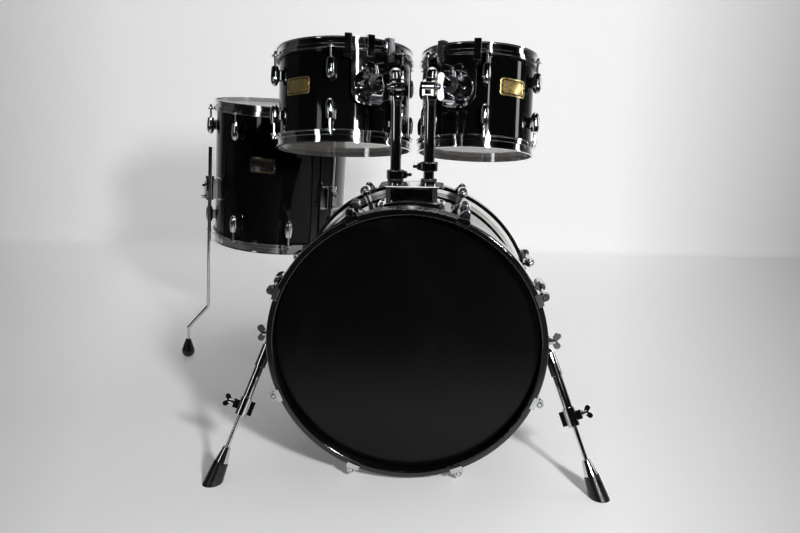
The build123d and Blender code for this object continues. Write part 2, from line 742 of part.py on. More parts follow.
def mount_solids(drum, rise):
    """Return a tom's mount with x outward: apron, hoop clamps, base and barrel, with its knob."""
    r, half = drum.radius, drum.half
    inner = r + apron_gap
    outer = inner + apron_steel
    top = half - apron_drop
    low = rise - mount_base_radius - apron_margin
    outline = apron_outline(outer * sin(radians(apron_angle)), low, top)
    body = tube(outer, inner, low, top) & extrude(Plane.YZ * outline, outer)
    base_end = outer + mount_base_height
    barrel_end = base_end + barrel_length
    face = Pos(0, 0, rise) * Rot(0, 90, 0)
    body += face * rod(mount_base_radius, inner + 1, base_end)
    body += face * rod(barrel_radius + 4, base_end, base_end + 5)
    body += face * rod(barrel_radius, base_end, barrel_end)
    body -= rod(inner, -half, half)
    under = half - hoop_drop - clamp_gap
    over = half + hoop_rise + clamp_gap
    for turn in drum.clamp_angles:
        strap = Pos(inner + 2.5, 0, 0) * block(5, clamp_width, top - 12, over + clamp_steel)
        hook = Pos(r + 8, 0, 0) * block(13, clamp_width, over, over + clamp_steel)
        shelf = Pos(r + 12, 0, 0) * block(9, clamp_width, under - clamp_steel, under)
        body += Rot(0, 0, turn) * (strap + hook + shelf)
    bore = tube_radius + fit + bushing_wall + fit
    body -= face * rod(bore, outer + 1.5, barrel_end + 1)
    knob_at = Pos(base_end + knob_offset, 0, rise)
    tower = rod(9, barrel_radius - 4, barrel_radius + 8)
    tower -= Rot(0, 90, 0) * rod(bore, -barrel_length, barrel_length)
    body += knob_at * tower
    body -= knob_at * rod(tilter_bolt + fit, 10, barrel_radius + 9)
    knob = rod(tilter_bolt, bore + 0.5, barrel_radius + 10)
    knob += rod(7, barrel_radius + 8.1, barrel_radius + 12)
    knob += Pos(0, 0, barrel_radius + 11) * Rot(0, 0, 90) * wing(5.5, 46, 15, 4, 0.15)
    return [body, knob_at * knob]


def mount_bushing(drum, rise):
    """Return the sleeve between arm and barrel, in the tom's frame with x outward."""
    inner_end = drum.radius + apron_gap + apron_steel + mount_base_height
    inner = tube_radius + fit
    outer_end = inner_end + barrel_length
    sleeve = tube(inner + bushing_wall, inner, inner_end, outer_end)
    sleeve += tube(barrel_radius - 1.5, inner, outer_end, outer_end + bushing_collar)
    return Pos(0, 0, rise) * Rot(0, 90, 0) * sleeve


def write_arm(arm, drum):
    """Write one side of the holder, from the bushing in the bass drum to the tom's mount."""
    name = arm.name
    sleeve = tube(bushing_radius, bushing_bore, -10, boss_top)
    sleeve += tube(boss_radius - 0.5, bushing_bore, boss_top, bushing_top)
    write(f"{name}_post_bushing", arm.post, [sleeve])
    write(f"{name}_post", arm.post, [post_solid(arm)])
    ring, screw = lock_solids(arm)
    write(f"{name}_memory_lock", arm.post, [ring])
    write(f"{name}_lock_screw", arm.post, [screw])
    write(f"{name}_tilter_arm", arm.arm, [arm_solid(arm)])
    seat = cheek_outer + 0.1
    wing_bolt = rod(tilter_bolt, -cheek_outer - 3, seat + 2) + rod(9, seat, seat + 3)
    wing_bolt += Pos(0, 0, seat + 2) * wing(6.5, 54, 16, 4.5, 0.13)
    nut = Rot(0, 90 * arm.side, 0) * wing_bolt
    write(f"{name}_tilter_wing_nut", arm.head, [nut])
    turn = Rot(0, 0, mount_angle)
    write(f"{drum.name}_mount", drum.place, [turn * s for s in mount_solids(drum, arm.rise)])
    write(f"{name}_mount_bushing", drum.place, [turn * mount_bushing(drum, arm.rise)])


# ---------------------------------------------------------------- floor tom legs

leg_reach = floor_tom_radius + leg_offset
leg_sleeve = leg_radius + fit
housing_low = -bracket_top - bracket_height
bolt_height = -bracket_top - 0.38 * bracket_height
tee_height = -bracket_top - 0.84 * bracket_height
leg_bend_drop = floor_frame.position.Z - leg_high_bend


def leg_bracket():
    """Return a leg bracket with x outward and its origin on the leg's axis."""
    base = Pos(-leg_offset + 1, 0, 0) * block(6, 34, housing_low, -bracket_top - 4)
    base = fillet(base.edges().filter_by(Axis.X), 6)
    web = Pos(-leg_offset / 2, 0, 0) * block(leg_offset, 17, housing_low + 5, -bracket_top - 8)
    housing = rod(10.5, housing_low + 2, -bracket_top - 7)
    front = Pos(6, 0, 0) * block(12, 16, housing_low + 8, -bracket_top - 14)
    collar = rod(11.5, -bracket_top - 8, -bracket_top)
    body = base + web + housing + front + collar
    body -= Pos(-leg_reach, 0, 0) * rod(floor_tom_radius + seat_gap, 2 * housing_low, -housing_low)
    body -= rod(leg_sleeve, 2 * housing_low, -housing_low)
    for height in (bolt_height, tee_height):
        body -= Pos(0, 0, height) * Rot(0, 90, 0) * rod(3 + fit, 0, 30)
    return body


def leg_screws():
    """Return a bracket's key bolt and its tee screw, with x outward."""
    key = rod(3, leg_radius + 0.4, 13) + rod(5.5, 12.1, 15) + block(rod_head, rod_head, 15, 21)
    tee = rod(3, leg_radius + 0.4, 15) + rod(5, 12.1, 20)
    tee += Pos(0, 0, 18) * Rot(90, 0, 0) * rod(2.4, -15, 15)
    return [Pos(0, 0, bolt_height) * Rot(0, 90, 0) * key, Pos(0, 0, tee_height) * Rot(0, 90, 0) * tee]


def write_leg(index, angle, turn):
    """Write one floor tom leg and its rubber foot."""
    top = floor_frame * at(angle, leg_reach)
    kick = floor_frame * at(angle, leg_reach) * Rot(0, 0, turn) * Pos(leg_kick, 0, 0)
    sink = (leg_foot_radius - kick.position.Z) / floor_axis.Z
    bend = leg_bend_drop + leg_bend_height
    path = FilletPolyline((0, 0, leg_above), (0, 0, -leg_bend_drop), (leg_kick, 0, -bend),
                          (leg_kick, 0, sink + 4), radius=leg_bend_radius)
    section = Plane(origin=(0, 0, leg_above), z_dir=(0, 0, -1)) * Circle(leg_radius)
    leg = sweep(section, path=path)
    place = top * Rot(0, 0, turn)
    write(f"floor_tom_leg_{index}", place, [leg])
    slope = asin(leg_foot_radius / hypot(leg_foot_height, leg_foot_neck))
    slope -= atan2(leg_foot_neck, leg_foot_height)
    ring, rise = leg_foot_radius * cos(slope), leg_foot_radius * sin(slope)
    foot = Sphere(leg_foot_radius)
    foot += turned((0, rise), (ring, rise), (leg_foot_neck, leg_foot_height), (0, leg_foot_height))
    foot -= rod(leg_radius, 4, leg_foot_height + 1)
    write(f"floor_tom_foot_{index}", place * Pos(leg_kick, 0, sink), [foot])


def write_floor_tom():
    """Write the floor tom with its leg brackets and legs."""
    write_tom(floor_tom)
    bracket, screws = leg_bracket(), leg_screws()
    spots = [at(angle, leg_reach) for angle in leg_angles]
    write("floor_tom_leg_brackets", floor_frame, [spot * bracket for spot in spots])
    write("floor_tom_leg_screws", floor_frame, [spot * s for spot in spots for s in screws])
    for index, (angle, turn) in enumerate(zip(leg_angles, leg_turns), start=1):
        write_leg(index, angle, turn)


# ---------------------------------------------------------------- the kit

os.makedirs("parts", exist_ok=True)
write_bass()
write_spur("left", -1)
write_spur("right", 1)
write_tom(left_tom)
write_tom(right_tom)
write_arm(left_arm, left_tom)
write_arm(right_arm, right_tom)
write_floor_tom()
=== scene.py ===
import logging
import math
from dataclasses import dataclass
from enum import Enum

import bpy
from mathutils import Matrix, Vector


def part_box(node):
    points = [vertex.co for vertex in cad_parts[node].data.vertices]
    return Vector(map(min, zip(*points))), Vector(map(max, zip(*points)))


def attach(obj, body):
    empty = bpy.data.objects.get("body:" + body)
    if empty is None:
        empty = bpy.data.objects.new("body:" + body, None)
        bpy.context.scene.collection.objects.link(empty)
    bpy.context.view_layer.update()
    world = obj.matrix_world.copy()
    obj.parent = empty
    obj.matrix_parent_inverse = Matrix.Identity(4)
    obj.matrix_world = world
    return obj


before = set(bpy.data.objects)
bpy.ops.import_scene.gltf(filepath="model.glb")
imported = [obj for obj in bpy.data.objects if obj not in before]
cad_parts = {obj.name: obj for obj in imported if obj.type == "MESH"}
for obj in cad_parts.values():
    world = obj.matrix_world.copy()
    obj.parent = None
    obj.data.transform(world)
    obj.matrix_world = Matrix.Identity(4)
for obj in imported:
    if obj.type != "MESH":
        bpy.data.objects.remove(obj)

log = logging.getLogger("drum_kit")
MIX_COLOUR_A = 6
MIX_COLOUR_B = 7
MIX_COLOUR_OUT = 2
Colour = tuple[float, float, float, float]
Point = tuple[float, float, float]


# ---------------------------------------------------------------- node boards


class Board:
    """A node tree that is filled node by node."""

    def __init__(self, tree: bpy.types.NodeTree) -> None:
        """Start a board on a tree.

        Args:
            tree: the node tree to fill.
        """
        self.tree = tree

    def add(self, kind: str, **values: object) -> bpy.types.Node:
        """Add a node and set its input sockets.

        Args:
            kind: the node's type name.
            values: socket values by name, with underscores for spaces.

        Returns:
            The new node.
        """
        node = self.tree.nodes.new(kind)
        for key, value in values.items():
            node.inputs[key.replace("_", " ")].default_value = value
        return node

    def link(self, source: bpy.types.NodeSocket, target: bpy.types.NodeSocket) -> None:
        """Join two sockets.

        Args:
            source: the output socket.
            target: the input socket.
        """
        self.tree.links.new(source, target)

    def object_place(self) -> bpy.types.NodeSocket:
        """Return the socket of the object coordinates.

        Returns:
            The output socket.
        """
        return self.add("ShaderNodeTexCoord").outputs["Object"]

    def math(self, operation: str, first: bpy.types.NodeSocket, second: object) -> bpy.types.NodeSocket:
        """Add a Math node.

        Args:
            operation: the node's operation.
            first: the socket of the first value.
            second: a number, or the socket of the second value.

        Returns:
            The result's socket.
        """
        node = self.add("ShaderNodeMath")
        node.operation = operation
        self.link(first, node.inputs[0])
        if isinstance(second, bpy.types.NodeSocket):
            self.link(second, node.inputs[1])
        else:
            node.inputs[1].default_value = second
        return node.outputs["Value"]

    def spread(self, source: bpy.types.NodeSocket, low: float, high: float,
               to_low: float, to_high: float) -> bpy.types.NodeSocket:
        """Map a value's range onto another one.

        Args:
            source: the value's socket.
            low: the range's lower end.
            high: its upper end.
            to_low: what the lower end becomes.
            to_high: what the upper end becomes.

        Returns:
            The result's socket.
        """
        node = self.add("ShaderNodeMapRange", From_Min=low, From_Max=high, To_Min=to_low, To_Max=to_high)
        self.link(source, node.inputs["Value"])
        return node.outputs["Result"]

    def mix_colours(self, factor: bpy.types.NodeSocket, first: object,
                    second: object) -> bpy.types.NodeSocket:
        """Mix two colours.

        Args:
            factor: the socket of the second colour's share.
            first: a colour or its socket.
            second: a colour or its socket.

        Returns:
            The result's socket.
        """
        node = self.add("ShaderNodeMix")
        node.data_type = "RGBA"
        self.link(factor, node.inputs["Factor"])
        for index, colour in ((MIX_COLOUR_A, first), (MIX_COLOUR_B, second)):
            if isinstance(colour, bpy.types.NodeSocket):
                self.link(colour, node.inputs[index])
            else:
                node.inputs[index].default_value = colour
        return node.outputs[MIX_COLOUR_OUT]


class GroupBoard(Board):
    """A shared effect: a node group with named inputs and outputs."""

    def __init__(self, name: str) -> None:
        """Start an empty group.

        Args:
            name: the group's name.
        """
        super().__init__(bpy.data.node_groups.new(name, "ShaderNodeTree"))
        self.entry = self.tree.nodes.new("NodeGroupInput")
        self.exit = self.tree.nodes.new("NodeGroupOutput")

    def number(self, name: str) -> bpy.types.NodeSocket:
        """Declare a number that each finish sets.

        Args:
            name: the input's name.

        Returns:
            The socket that carries it inside the group.
        """
        self.tree.interface.new_socket(name=name, in_out="INPUT", socket_type="NodeSocketFloat")
        return self.entry.outputs[name]

    def colour(self, name: str) -> bpy.types.NodeSocket:
        """Declare a colour that each finish sets.

        Args:
            name: the input's name.

        Returns:
            The socket that carries it inside the group.
        """
        self.tree.interface.new_socket(name=name, in_out="INPUT", socket_type="NodeSocketColor")
        return self.entry.outputs[name]

    def give(self, name: str, kind: str, source: bpy.types.NodeSocket) -> None:
        """Declare an output and feed it.

        Args:
            name: the output's name.
            kind: Float, Color or Vector.
            source: the socket that feeds it.
        """
        self.tree.interface.new_socket(name=name, in_out="OUTPUT", socket_type=f"NodeSocket{kind}")
        self.link(source, self.exit.inputs[name])


class SurfaceBoard(Board):
    """A material's node tree round one Principled shader."""

    def __init__(self, name: str) -> None:
        """Start a material.

        Args:
            name: the material's name.
        """
        self.material = bpy.data.materials.new(name)
        self.material.use_nodes = True
        super().__init__(self.material.node_tree)
        self.tree.nodes.clear()
        self.shader = self.tree.nodes.new("ShaderNodeBsdfPrincipled")
        self.output = self.tree.nodes.new("ShaderNodeOutputMaterial")
        self.link(self.shader.outputs["BSDF"], self.output.inputs["Surface"])

    def constants(self, **values: object) -> None:
        """Set constants on the shader's own sockets.

        Args:
            values: socket values by name, with underscores for spaces.
        """
        for key, value in values.items():
            self.shader.inputs[key.replace("_", " ")].default_value = value

    def effect(self, group: bpy.types.NodeTree, **values: object) -> bpy.types.Node:
        """Add a shared effect with this finish's values.

        Args:
            group: the effect's node group.
            values: its inputs by name, with underscores for spaces.

        Returns:
            The group's node.
        """
        node = self.tree.nodes.new("ShaderNodeGroup")
        node.node_tree = group
        for key, value in values.items():
            node.inputs[key.replace("_", " ")].default_value = value
        return node

    def bump(self, height: bpy.types.NodeSocket, strength: float, depth: float,
             normal: bpy.types.NodeSocket | None = None) -> None:
        """Feed a height into the shader's normal.

        Args:
            height: the height's socket.
            strength: the bump's strength.
            depth: its distance, in metres.
            normal: the socket of a normal to start from.
        """
        bump = self.add("ShaderNodeBump", Strength=strength, Distance=depth)
        self.link(height, bump.inputs["Height"])
        if normal is not None:
            self.link(normal, bump.inputs["Normal"])
        self.link(bump.outputs["Normal"], self.shader.inputs["Normal"])


# ---------------------------------------------------------------- shared effects


class Effects:
    """The effects that several finishes share, each built once."""

    hairline_ratio = 14.0
    smear_start, smear_end = 0.46, 0.74
    hairline_start, hairline_end = 0.6, 0.72
    hairline_share = 0.35
    grain_stretch = (1.0, 1.0, 9.0)
    edge_samples = 4

    def __init__(self) -> None:
        """Build every shared effect."""
        self.handling = self._handling()
        self.grain = self._grain()
        self.texture = self._texture()
        self.soft_edges = self._soft_edges()
        self.from_axis = self._from_axis()

    @staticmethod
    def _handling() -> bpy.types.NodeTree:
        """Build handling marks: smears and hairlines that dull a surface.

        Returns:
            The group, with a colour and a roughness.
        """
        board = GroupBoard("handling_marks")
        clean, worn = board.colour("Clean"), board.colour("Worn")
        scale, smooth, dull = board.number("Scale"), board.number("Smooth"), board.number("Dull")
        place = board.object_place()
        smears = board.add("ShaderNodeTexNoise", Detail=6.0, Roughness=0.62, Distortion=0.8)
        board.link(place, smears.inputs["Vector"])
        board.link(scale, smears.inputs["Scale"])
        hairlines = board.add("ShaderNodeTexNoise", Detail=2.0, Roughness=0.4, Distortion=3.0)
        board.link(place, hairlines.inputs["Vector"])
        board.link(board.math("MULTIPLY", scale, Effects.hairline_ratio), hairlines.inputs["Scale"])
        smear_mask = board.spread(
            smears.outputs["Fac"], Effects.smear_start, Effects.smear_end, 0.0, 1.0)
        line_mask = board.spread(
            hairlines.outputs["Fac"], Effects.hairline_start, Effects.hairline_end, 0.0,
            Effects.hairline_share)
        mask = board.math("MAXIMUM", smear_mask, line_mask)
        span = board.math("SUBTRACT", dull, smooth)
        roughness = board.math("ADD", board.math("MULTIPLY", mask, span), smooth)
        board.give("Colour", "Color", board.mix_colours(mask, clean, worn))
        board.give("Roughness", "Float", roughness)
        return board.tree

    @staticmethod
    def _grain() -> bpy.types.NodeTree:
        """Build wood grain that runs level round a drum.

        Returns:
            The group, with a colour and a height.
        """
        board = GroupBoard("ply_grain")
        light, dark, scale = board.colour("Light"), board.colour("Dark"), board.number("Scale")
        stretch = board.add("ShaderNodeMapping", Scale=Effects.grain_stretch)
        board.link(board.object_place(), stretch.inputs["Vector"])
        figure = board.add("ShaderNodeTexNoise", Detail=8.0, Roughness=0.66, Distortion=1.4)
        board.link(stretch.outputs["Vector"], figure.inputs["Vector"])
        board.link(scale, figure.inputs["Scale"])
        board.give("Colour", "Color", board.mix_colours(figure.outputs["Fac"], dark, light))
        board.give("Height", "Float", figure.outputs["Fac"])
        return board.tree

    @staticmethod
    def _texture() -> bpy.types.NodeTree:
        """Build the height of a fine surface texture.

        Returns:
            The group, with a height.
        """
        board = GroupBoard("fine_texture")
        scale, detail = board.number("Scale"), board.number("Detail")
        noise = board.add("ShaderNodeTexNoise", Roughness=0.5)
        board.link(board.object_place(), noise.inputs["Vector"])
        board.link(scale, noise.inputs["Scale"])
        board.link(detail, noise.inputs["Detail"])
        board.give("Height", "Float", noise.outputs["Fac"])
        return board.tree

    @staticmethod
    def _soft_edges() -> bpy.types.NodeTree:
        """Build the softened edges of cast and pressed metal.

        Returns:
            The group, with a normal.
        """
        board = GroupBoard("soft_edges")
        radius = board.number("Radius")
        edges = board.add("ShaderNodeBevel")
        edges.samples = Effects.edge_samples
        board.link(radius, edges.inputs["Radius"])
        board.give("Normal", "Vector", edges.outputs["Normal"])
        return board.tree

    @staticmethod
    def _from_axis() -> bpy.types.NodeTree:
        """Build the distance of a surface point from a drum's axis.

        Returns:
            The group, with that distance in metres.
        """
        board = GroupBoard("distance_from_axis")
        for name in ("Middle", "Axis"):
            board.tree.interface.new_socket(name=name, in_out="INPUT", socket_type="NodeSocketVector")
        away = board.add("ShaderNodeVectorMath")
        away.operation = "SUBTRACT"
        board.link(board.object_place(), away.inputs[0])
        board.link(board.entry.outputs["Middle"], away.inputs[1])
        across = board.add("ShaderNodeVectorMath")
        across.operation = "CROSS_PRODUCT"
        board.link(away.outputs["Vector"], across.inputs[0])
        board.link(board.entry.outputs["Axis"], across.inputs[1])
        length = board.add("ShaderNodeVectorMath")
        length.operation = "LENGTH"
        board.link(across.outputs["Vector"], length.inputs[0])
        board.give("Distance", "Float", length.outputs["Value"])
        return board.tree


# ---------------------------------------------------------------- the drums' places


@dataclass(frozen=True)
class DrumPlace:
    """Where a drum stands, measured from its own solids."""

    name: str
    centre: Vector
    axis: Vector
    radius: float

    @staticmethod
    def measure(name: str, head: str) -> "DrumPlace":
        """Measure a drum from its shell and one of its heads.

        Args:
            name: the drum's name.
            head: the head's part of its node's name.

        Returns:
            The drum's place.
        """
        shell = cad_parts[f"{name}_shell"].data
        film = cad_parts[f"{name}_{head}"].data
        widest = max(film.polygons, key=lambda face: face.area)
        axis = widest.normal.normalized()
        low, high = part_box(f"{name}_shell")
        centre = (low + high) / 2
        if axis.dot(film.vertices[widest.vertices[0]].co - centre) < 0:
            axis = -axis
        radius = max((corner.co - centre).cross(axis).length for corner in shell.vertices)
        return DrumPlace(name, centre, axis, radius)

    def frame_at(self, turn: float, height: float) -> Matrix:
        """Return the frame of a spot on the shell, with its origin on the drum's axis.

        Args:
            turn: degrees from the front towards +X.
            height: height above the drum's middle, in metres.

        Returns:
            The frame: y points inward and z along the axis.
        """
        front = Vector((0.0, -1.0, 0.0))
        front = (front - self.axis * front.dot(self.axis)).normalized()
        inward = -(Matrix.Rotation(math.radians(turn), 3, self.axis) @ front)
        side = inward.cross(self.axis).normalized()
        turned = Matrix((side, inward, self.axis)).transposed().to_4x4()
        return Matrix.Translation(self.centre + self.axis * height) @ turned


# ---------------------------------------------------------------- finishes


@dataclass(frozen=True)
class Chrome:
    """Chrome plate with faint handling marks and softened edges."""

    name: str = "chrome_plate"
    clean: Colour = (0.74, 0.75, 0.77, 1.0)
    worn: Colour = (0.55, 0.56, 0.58, 1.0)
    smooth: float = 0.035
    dull: float = 0.12
    marks: float = 20.0
    edge: float = 0.0007
    wave: float = 70.0
    wave_detail: float = 2.0
    wave_strength: float = 0.15
    wave_depth: float = 0.0004

    def make(self, effects: Effects) -> bpy.types.Material:
        """Make the material.

        Args:
            effects: the shared effects.

        Returns:
            The material.
        """
        board = SurfaceBoard(self.name)
        board.constants(Metallic=1.0)
        marks = board.effect(effects.handling, Clean=self.clean, Worn=self.worn, Scale=self.marks,
                             Smooth=self.smooth, Dull=self.dull)
        board.link(marks.outputs["Colour"], board.shader.inputs["Base Color"])
        board.link(marks.outputs["Roughness"], board.shader.inputs["Roughness"])
        edges = board.effect(effects.soft_edges, Radius=self.edge)
        plating = board.effect(effects.texture, Scale=self.wave, Detail=self.wave_detail)
        board.bump(plating.outputs["Height"], self.wave_strength, self.wave_depth, edges.outputs["Normal"])
        return board.material


@dataclass(frozen=True)
class ShellLacquer:
    """Polished black lacquer outside a shell, bare plies inside it."""

    drum: DrumPlace
    black: Colour = (0.0018, 0.0018, 0.002, 1.0)
    hazed: Colour = (0.004, 0.004, 0.0045, 1.0)
    ply_light: Colour = (0.36, 0.22, 0.12, 1.0)
    ply_dark: Colour = (0.18, 0.1, 0.05, 1.0)
    smooth: float = 0.025
    dull: float = 0.07
    ply_roughness: float = 0.55
    ply_scale: float = 15.0
    skin: float = 0.0005
    marks: float = 6.0
    wave: float = 40.0
    wave_detail: float = 1.0
    wave_strength: float = 0.06
    wave_depth: float = 0.0006

    def make(self, effects: Effects) -> bpy.types.Material:
        """Make the material.

        Args:
            effects: the shared effects.

        Returns:
            The material.
        """
        board = SurfaceBoard(f"{self.drum.name}_lacquer")
        away = board.effect(effects.from_axis, Middle=self.drum.centre, Axis=self.drum.axis)
        inside = board.math("LESS_THAN", away.outputs["Distance"], self.drum.radius - self.skin)
        plies = board.effect(effects.grain, Light=self.ply_light, Dark=self.ply_dark,
                             Scale=self.ply_scale)
        marks = board.effect(effects.handling, Clean=self.black, Worn=self.hazed, Scale=self.marks,
                             Smooth=self.smooth, Dull=self.dull)
        colour = board.mix_colours(inside, marks.outputs["Colour"], plies.outputs["Colour"])
        board.link(colour, board.shader.inputs["Base Color"])
        rough = board.math("MULTIPLY", inside, self.ply_roughness)
        board.link(board.math("ADD", rough, marks.outputs["Roughness"]), board.shader.inputs["Roughness"])
        wave = board.effect(effects.texture, Scale=self.wave, Detail=self.wave_detail)
        board.bump(wave.outputs["Height"], self.wave_strength, self.wave_depth)
        return board.material


@dataclass(frozen=True)
class HoopLacquer:
    """Black satin lacquer on wooden hoops, with the grain just showing."""

    name: str = "hoop_lacquer"
    black: Colour = (0.002, 0.002, 0.0022, 1.0)
    worn: Colour = (0.006, 0.006, 0.006, 1.0)
    smooth: float = 0.09
    dull: float = 0.18
    coat: float = 0.5
    coat_roughness: float = 0.06
    marks: float = 9.0
    edge: float = 0.0016
    grain: float = 30.0
    grain_strength: float = 0.08
    grain_depth: float = 0.0004

    def make(self, effects: Effects) -> bpy.types.Material:
        """Make the material.

        Args:
            effects: the shared effects.

        Returns:
            The material.
        """
        board = SurfaceBoard(self.name)
        board.constants(Coat_Weight=self.coat, Coat_Roughness=self.coat_roughness)
        marks = board.effect(effects.handling, Clean=self.black, Worn=self.worn, Scale=self.marks,
                             Smooth=self.smooth, Dull=self.dull)
        board.link(marks.outputs["Colour"], board.shader.inputs["Base Color"])
        board.link(marks.outputs["Roughness"], board.shader.inputs["Roughness"])
        edges = board.effect(effects.soft_edges, Radius=self.edge)
        grain = board.effect(effects.grain, Scale=self.grain)
        board.bump(grain.outputs["Height"], self.grain_strength, self.grain_depth, edges.outputs["Normal"])
        return board.material


@dataclass(frozen=True)
class Film:
    """Polyester drum head film."""

    name: str
    clean: Colour
    worn: Colour
    smooth: float
    dull: float
    alpha: float = 1.0
    grazing_alpha: float = 0.8
    gloss: float = 0.5
    tooth: float = 0.1
    tooth_scale: float = 900.0
    tooth_detail: float = 4.0
    tooth_depth: float = 0.0003
    marks: float = 7.0
    facing_blend: float = 0.5
    grazing_start: float = 0.45
    grazing_end: float = 0.95

    def make(self, effects: Effects) -> bpy.types.Material:
        """Make the material.

        Args:
            effects: the shared effects.

        Returns:
            The material.
        """
        board = SurfaceBoard(self.name)
        board.constants(Alpha=self.alpha, Specular_IOR_Level=self.gloss)
        if self.alpha < 1.0:
            facing = board.add("ShaderNodeLayerWeight", Blend=self.facing_blend)
            veil = board.spread(facing.outputs["Facing"], self.grazing_start, self.grazing_end,
                                self.alpha, self.grazing_alpha)
            board.link(veil, board.shader.inputs["Alpha"])
        marks = board.effect(effects.handling, Clean=self.clean, Worn=self.worn, Scale=self.marks,
                             Smooth=self.smooth, Dull=self.dull)
        board.link(marks.outputs["Colour"], board.shader.inputs["Base Color"])
        board.link(marks.outputs["Roughness"], board.shader.inputs["Roughness"])
        grit = board.effect(effects.texture, Scale=self.tooth_scale, Detail=self.tooth_detail)
        board.bump(grit.outputs["Height"], self.tooth, self.tooth_depth)
        return board.material


@dataclass(frozen=True)
class Moulded:
    """Moulded rubber or nylon with a fine texture."""

    name: str
    clean: Colour
    worn: Colour
    smooth: float
    dull: float
    tooth: float
    tooth_scale: float = 1400.0
    tooth_detail: float = 4.0
    tooth_depth: float = 0.0004
    marks: float = 45.0
    edge: float = 0.001

    def make(self, effects: Effects) -> bpy.types.Material:
        """Make the material.

        Args:
            effects: the shared effects.

        Returns:
            The material.
        """
        board = SurfaceBoard(self.name)
        marks = board.effect(effects.handling, Clean=self.clean, Worn=self.worn, Scale=self.marks,
                             Smooth=self.smooth, Dull=self.dull)
        board.link(marks.outputs["Colour"], board.shader.inputs["Base Color"])
        board.link(marks.outputs["Roughness"], board.shader.inputs["Roughness"])
        edges = board.effect(effects.soft_edges, Radius=self.edge)
        grit = board.effect(effects.texture, Scale=self.tooth_scale, Detail=self.tooth_detail)
        board.bump(grit.outputs["Height"], self.tooth, self.tooth_depth, edges.outputs["Normal"])
        return board.material


@dataclass(frozen=True)
class BadgeMetal:
    """Brushed badge metal under a clear lacquer."""

    name: str
    clean: Colour
    worn: Colour
    metallic: float
    coat: float = 0.4
    coat_roughness: float = 0.08
    marks: float = 60.0
    smooth: float = 0.24
    dull: float = 0.42
    brushing: float = 90.0
    brushing_strength: float = 0.15
    brushing_depth: float = 0.0002

    def make(self, effects: Effects) -> bpy.types.Material:
        """Make the material.

        Args:
            effects: the shared effects.

        Returns:
            The material.
        """
        board = SurfaceBoard(self.name)
        board.constants(
            Metallic=self.metallic, Coat_Weight=self.coat, Coat_Roughness=self.coat_roughness)
        marks = board.effect(effects.handling, Clean=self.clean, Worn=self.worn, Scale=self.marks,
                             Smooth=self.smooth, Dull=self.dull)
        board.link(marks.outputs["Colour"], board.shader.inputs["Base Color"])
        board.link(marks.outputs["Roughness"], board.shader.inputs["Roughness"])
        brushing = board.effect(effects.grain, Scale=self.brushing)
        board.bump(brushing.outputs["Height"], self.brushing_strength, self.brushing_depth)
        return board.material


# ---------------------------------------------------------------- pieces


def deselect_all() -> None:
    """Clear the selection, so that an operator acts on the new piece alone."""
    bpy.ops.object.select_all(action="DESELECT")


def apply_modifiers(piece: bpy.types.Object) -> None:
    """Apply every modifier of a piece in order.

    Args:
        piece: the piece.
    """
    deselect_all()
    piece.select_set(True)
    bpy.context.view_layer.objects.active = piece
    for modifier in list(piece.modifiers):
        bpy.ops.object.modifier_apply(modifier=modifier.name)


def settle(piece: bpy.types.Object, name: str, body: str) -> None:
    """Apply a piece's place, name it and let it ride on its body.

    Args:
        piece: the piece in its place.
        name: its name.
        body: the body that it moves with.
    """
    apply_modifiers(piece)
    bpy.ops.object.transform_apply(location=True, rotation=True, scale=True)
    bpy.ops.object.shade_smooth_by_angle(angle=math.radians(35.0))
    piece.name = name
    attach(piece, body)
    log.info("%s rides on %s", name, body)


